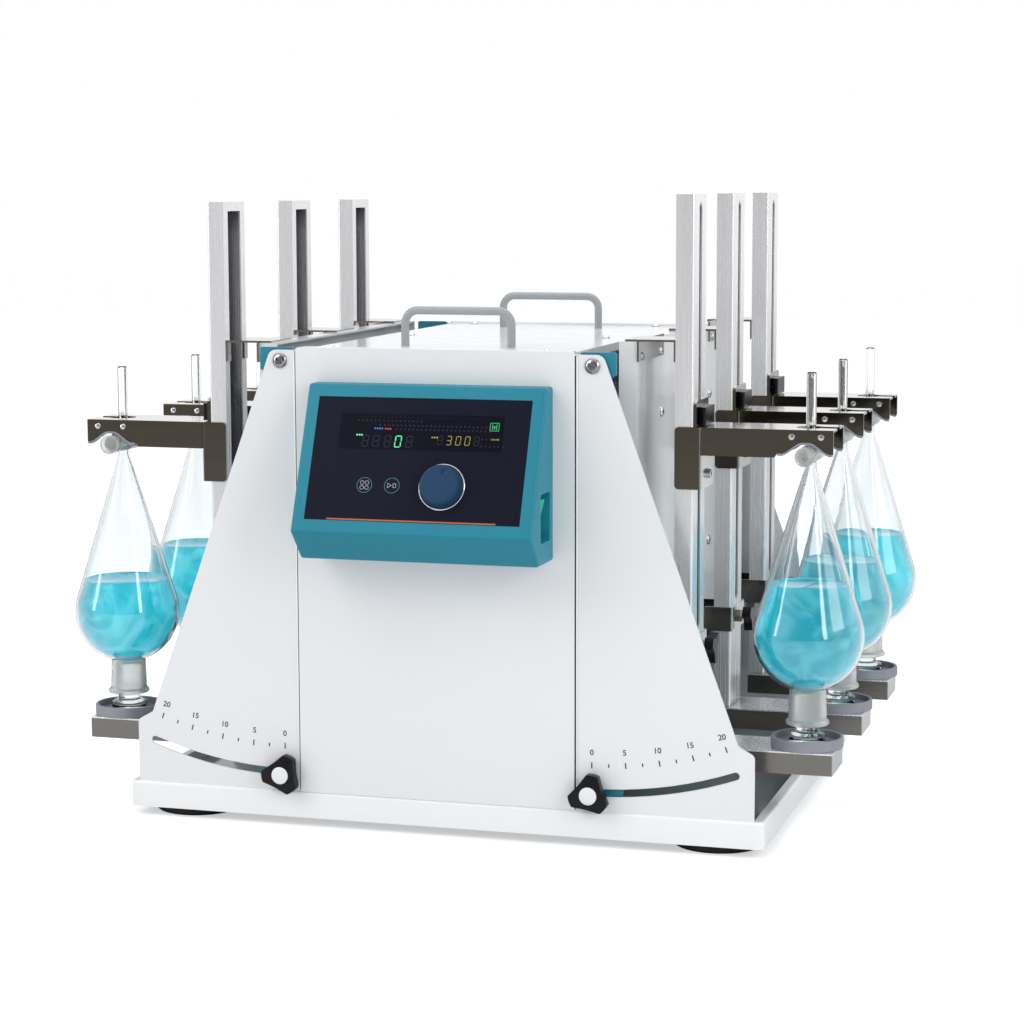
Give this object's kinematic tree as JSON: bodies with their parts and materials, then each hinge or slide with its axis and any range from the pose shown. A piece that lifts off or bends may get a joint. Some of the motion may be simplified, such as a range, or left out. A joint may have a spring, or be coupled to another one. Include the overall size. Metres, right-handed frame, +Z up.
{
  "type": "separating funnel shaker",
  "caption": "Vertical separating funnel shaker: white sheet-metal body with a tilted control panel, tilting side carriages, slotted steel posts and inverted pear funnels of blue liquid.",
  "frame": {"origin": "middle of the machine's outline on the bench, under its feet", "axes": "+X to the right of someone who faces the control panel, +Y from the panel to the back, +Z up"},
  "size_m": [0.7958, 0.5674, 0.6086],
  "materials": {
    "white_paint": "semi-gloss powder coat",
    "grey_paint": "satin powder coat",
    "teal_paint": "satin powder coat",
    "motor_grey": "satin paint",
    "teal_plastic": "fine satin moulding",
    "dark_glass": "glossy dark tinted front glass",
    "blue_plastic": "satin",
    "green_plastic": "glossy, lit",
    "black_plastic": "satin",
    "black_rubber": "matt",
    "grey_rubber": "matt",
    "bright_steel": "polished stainless steel",
    "polished_steel": "polished stainless sheet",
    "brushed_steel": "fine lengthwise grain",
    "aluminium": "machined",
    "clear_glass": "clear borosilicate glass",
    "frosted_glass": "ground, frosted glass"
  },
  "bodies": {
    "machine": {"base_tray": "white_paint", "rubber_feet": "black_rubber", "front_wing_panel": "white_paint", "rear_wing_panel": "white_paint", "front_cover": "white_paint", "rear_cover": "white_paint", "top_cover": "white_paint", "carry_handles": "grey_paint", "cover_screws": "bright_steel", "pivot_bolts": "bright_steel", "chassis_frame": "teal_paint", "control_housing": "teal_plastic", "display_glass": "dark_glass", "power_inlet": "black_plastic", "drive_motor": "motor_grey"},
    "encoder": {"encoder_knob": "blue_plastic"},
    "power_switch": {"power_rocker": "green_plastic"},
    "crank": {"crank_disc": "bright_steel"},
    "beam": {"rocker_beam": "aluminium"},
    "rod": {"connecting_rod": "aluminium"},
    "left_frame": {"left_tilt_frame": "teal_paint", "left_guide_rods": "bright_steel"},
    "left_lock": {"left_lock_knob": "black_plastic"},
    "left_carriage": {"left_carriage": "white_paint", "left_posts": "brushed_steel", "left_post_fittings": "brushed_steel", "left_cups": "grey_rubber", "left_funnels": "clear_glass"},
    "front_left_arm": {"front_left_arm": "polished_steel"},
    "front_left_catch": {"front_left_arm_catch": "black_plastic"},
    "front_left_strap_knob": {"front_left_strap_knob": "black_plastic"},
    "front_left_tap": {"front_left_tap_plug": "frosted_glass"},
    "middle_left_arm": {"middle_left_arm": "polished_steel"},
    "middle_left_catch": {"middle_left_arm_catch": "black_plastic"},
    "middle_left_strap_knob": {"middle_left_strap_knob": "black_plastic"},
    "middle_left_tap": {"middle_left_tap_plug": "frosted_glass"},
    "rear_left_arm": {"rear_left_arm": "polished_steel"},
    "rear_left_catch": {"rear_left_arm_catch": "black_plastic"},
    "rear_left_strap_knob": {"rear_left_strap_knob": "black_plastic"},
    "rear_left_tap": {"rear_left_tap_plug": "frosted_glass"},
    "right_frame": {"right_tilt_frame": "teal_paint", "right_guide_rods": "bright_steel"},
    "right_lock": {"right_lock_knob": "black_plastic"},
    "right_carriage": {"right_carriage": "white_paint", "right_posts": "brushed_steel", "right_post_fittings": "brushed_steel", "right_cups": "grey_rubber", "right_funnels": "clear_glass"},
    "front_right_arm": {"front_right_arm": "polished_steel"},
    "front_right_catch": {"front_right_arm_catch": "black_plastic"},
    "front_right_strap_knob": {"front_right_strap_knob": "black_plastic"},
    "front_right_tap": {"front_right_tap_plug": "frosted_glass"},
    "middle_right_arm": {"middle_right_arm": "polished_steel"},
    "middle_right_catch": {"middle_right_arm_catch": "black_plastic"},
    "middle_right_strap_knob": {"middle_right_strap_knob": "black_plastic"},
    "middle_right_tap": {"middle_right_tap_plug": "frosted_glass"},
    "rear_right_arm": {"rear_right_arm": "polished_steel"},
    "rear_right_catch": {"rear_right_arm_catch": "black_plastic"},
    "rear_right_strap_knob": {"rear_right_strap_knob": "black_plastic"},
    "rear_right_tap": {"rear_right_tap_plug": "frosted_glass"}
  },
  "joints": [
    {"name": "encoder_turn", "type": "hinge", "parent": "machine", "child": "encoder", "pos_m": [0.0264, -0.2688, 0.34491], "axis": [0, -0.9249, 0.3803], "continuous": true},
    {"name": "power_switch_tilt", "type": "hinge", "parent": "machine", "child": "power_switch", "pos_m": [0.1023, -0.23418, 0.3143], "axis": [0, 1, 0], "range_deg": [-14, 0]},
    {"name": "crank_turn", "type": "hinge", "parent": "machine", "child": "crank", "pos_m": [0.06, 0.05432, 0.259], "axis": [0, 1, 0], "continuous": true},
    {"name": "beam_rock", "type": "hinge", "parent": "machine", "child": "beam", "pos_m": [0, 0.03662, 0.4283], "axis": [0, 1, 0], "range_deg": [-6, 8.5]},
    {"name": "rod_swing", "type": "hinge", "parent": "beam", "child": "rod", "pos_m": [0.05998, 0.04862, 0.42964], "axis": [0, 1, 0], "range_deg": [-8.5, 6]},
    {"name": "tilt_left", "type": "hinge", "parent": "machine", "child": "left_frame", "pos_m": [-0.1536, 0, 0.4523], "axis": [0, 1, 0], "range_deg": [0, 20]},
    {"name": "lock_left", "type": "hinge", "parent": "left_frame", "child": "left_lock", "pos_m": [-0.1536, -0.20668, 0.0523], "axis": [0, -1, 0], "range_deg": [0, 360]},
    {"name": "shake_left", "type": "slide", "parent": "left_frame", "child": "left_carriage", "axis": [0, 0, 1], "range_m": [-0.01458, 0.02142]},
    {"name": "arm_slide_front_left", "type": "slide", "parent": "left_carriage", "child": "front_left_arm", "axis": [0, 0, 1], "range_m": [0, 0.17]},
    {"name": "catch_pull_front_left", "type": "slide", "parent": "front_left_arm", "child": "front_left_catch", "axis": [-1, 0, 0], "range_m": [0, 0.006], "stiffness_N_per_m": 600, "springref_m": -0.001},
    {"name": "strap_knob_turn_front_left", "type": "hinge", "parent": "left_carriage", "child": "front_left_strap_knob", "pos_m": [-0.25, -0.14568, 0.17826], "axis": [-1, 0, 0], "range_deg": [0, 360]},
    {"name": "tap_turn_front_left", "type": "hinge", "parent": "left_carriage", "child": "front_left_tap", "pos_m": [-0.346, -0.14568, 0.36396], "axis": [0, -1, 0], "range_deg": [0, 90]},
    {"name": "arm_slide_middle_left", "type": "slide", "parent": "left_carriage", "child": "middle_left_arm", "axis": [0, 0, 1], "range_m": [0, 0.17]},
    {"name": "catch_pull_middle_left", "type": "slide", "parent": "middle_left_arm", "child": "middle_left_catch", "axis": [-1, 0, 0], "range_m": [0, 0.006], "stiffness_N_per_m": 600, "springref_m": -0.001},
    {"name": "strap_knob_turn_middle_left", "type": "hinge", "parent": "left_carriage", "child": "middle_left_strap_knob", "pos_m": [-0.25, 0.03662, 0.17826], "axis": [-1, 0, 0], "range_deg": [0, 360]},
    {"name": "tap_turn_middle_left", "type": "hinge", "parent": "left_carriage", "child": "middle_left_tap", "pos_m": [-0.346, 0.03662, 0.36396], "axis": [0, -1, 0], "range_deg": [0, 90]},
    {"name": "arm_slide_rear_left", "type": "slide", "parent": "left_carriage", "child": "rear_left_arm", "axis": [0, 0, 1], "range_m": [0, 0.17]},
    {"name": "catch_pull_rear_left", "type": "slide", "parent": "rear_left_arm", "child": "rear_left_catch", "axis": [-1, 0, 0], "range_m": [0, 0.006], "stiffness_N_per_m": 600, "springref_m": -0.001},
    {"name": "strap_knob_turn_rear_left", "type": "hinge", "parent": "left_carriage", "child": "rear_left_strap_knob", "pos_m": [-0.25, 0.21892, 0.17826], "axis": [-1, 0, 0], "range_deg": [0, 360]},
    {"name": "tap_turn_rear_left", "type": "hinge", "parent": "left_carriage", "child": "rear_left_tap", "pos_m": [-0.346, 0.21892, 0.36396], "axis": [0, -1, 0], "range_deg": [0, 90]},
    {"name": "tilt_right", "type": "hinge", "parent": "machine", "child": "right_frame", "pos_m": [0.1536, 0, 0.4523], "axis": [0, -1, 0], "range_deg": [0, 20]},
    {"name": "lock_right", "type": "hinge", "parent": "right_frame", "child": "right_lock", "pos_m": [0.1536, -0.20668, 0.0523], "axis": [0, -1, 0], "range_deg": [0, 360]},
    {"name": "shake_right", "type": "slide", "parent": "right_frame", "child": "right_carriage", "axis": [0, 0, 1], "range_m": [-0.02142, 0.01458]},
    {"name": "arm_slide_front_right", "type": "slide", "parent": "right_carriage", "child": "front_right_arm", "axis": [0, 0, 1], "range_m": [0, 0.17]},
    {"name": "catch_pull_front_right", "type": "slide", "parent": "front_right_arm", "child": "front_right_catch", "axis": [1, 0, 0], "range_m": [0, 0.006], "stiffness_N_per_m": 600, "springref_m": -0.001},
    {"name": "strap_knob_turn_front_right", "type": "hinge", "parent": "right_carriage", "child": "front_right_strap_knob", "pos_m": [0.25, -0.14568, 0.1851], "axis": [1, 0, 0], "range_deg": [0, 360]},
    {"name": "tap_turn_front_right", "type": "hinge", "parent": "right_carriage", "child": "front_right_tap", "pos_m": [0.346, -0.14568, 0.3708], "axis": [0, -1, 0], "range_deg": [0, 90]},
    {"name": "arm_slide_middle_right", "type": "slide", "parent": "right_carriage", "child": "middle_right_arm", "axis": [0, 0, 1], "range_m": [0, 0.17]},
    {"name": "catch_pull_middle_right", "type": "slide", "parent": "middle_right_arm", "child": "middle_right_catch", "axis": [1, 0, 0], "range_m": [0, 0.006], "stiffness_N_per_m": 600, "springref_m": -0.001},
    {"name": "strap_knob_turn_middle_right", "type": "hinge", "parent": "right_carriage", "child": "middle_right_strap_knob", "pos_m": [0.25, 0.03662, 0.1851], "axis": [1, 0, 0], "range_deg": [0, 360]},
    {"name": "tap_turn_middle_right", "type": "hinge", "parent": "right_carriage", "child": "middle_right_tap", "pos_m": [0.346, 0.03662, 0.3708], "axis": [0, -1, 0], "range_deg": [0, 90]},
    {"name": "arm_slide_rear_right", "type": "slide", "parent": "right_carriage", "child": "rear_right_arm", "axis": [0, 0, 1], "range_m": [0, 0.17]},
    {"name": "catch_pull_rear_right", "type": "slide", "parent": "rear_right_arm", "child": "rear_right_catch", "axis": [1, 0, 0], "range_m": [0, 0.006], "stiffness_N_per_m": 600, "springref_m": -0.001},
    {"name": "strap_knob_turn_rear_right", "type": "hinge", "parent": "right_carriage", "child": "rear_right_strap_knob", "pos_m": [0.25, 0.21892, 0.1851], "axis": [1, 0, 0], "range_deg": [0, 360]},
    {"name": "tap_turn_rear_right", "type": "hinge", "parent": "right_carriage", "child": "rear_right_tap", "pos_m": [0.346, 0.21892, 0.3708], "axis": [0, -1, 0], "range_deg": [0, 90]}
  ],
  "couplings": [
    {"joint": "shake_left", "follows": "shake_right", "ratio": -1},
    {"joint": "beam_rock", "follows": "shake_right", "rad_per_m": -6.5104},
    {"joint": "rod_swing", "follows": "shake_right", "rad_per_m": 6.5104}
  ]
}
